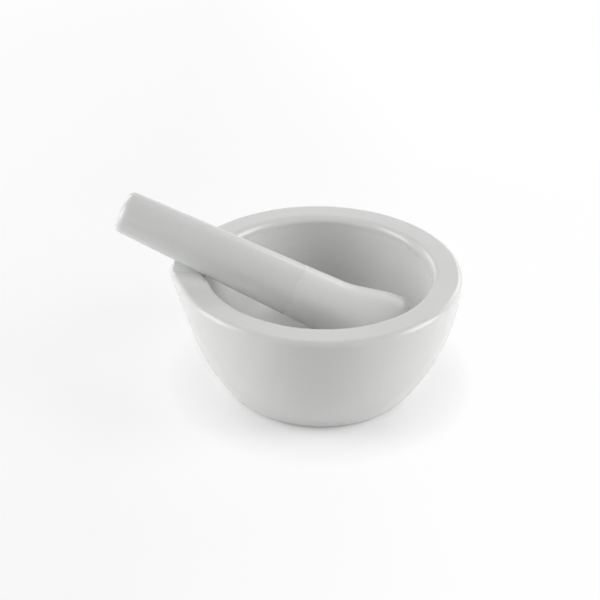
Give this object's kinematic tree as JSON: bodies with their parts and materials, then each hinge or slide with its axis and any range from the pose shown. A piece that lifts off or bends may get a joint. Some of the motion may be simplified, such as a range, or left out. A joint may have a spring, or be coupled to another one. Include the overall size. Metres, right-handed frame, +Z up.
{
  "type": "mortar and pestle",
  "caption": "Porcelain mortar with a pouring spout and a recessed foot, and a flared pestle lying in it for grinding and mixing by hand.",
  "frame": {"origin": "on the table, at the centre of the mortar's foot", "axes": "+Z up, -X towards the pouring spout and the pestle's handle, +Y to the right of someone looking from the spout"},
  "size_m": [0.1717, 0.14, 0.0992],
  "materials": {
    "mortar_porcelain": "white porcelain with a clear glaze, unglazed on the foot ring",
    "pestle_porcelain": "white porcelain with a clear glaze on the handle, unglazed and matte on the grinding head"
  },
  "bodies": {
    "mortar": {"mortar": "mortar_porcelain"},
    "pestle": {"pestle": "pestle_porcelain"}
  },
  "joints": [
    {"name": "pestle_lift", "type": "slide", "parent": "mortar", "child": "pestle", "axis": [0, 0, 1], "range_m": [0, 0.08]}
  ]
}
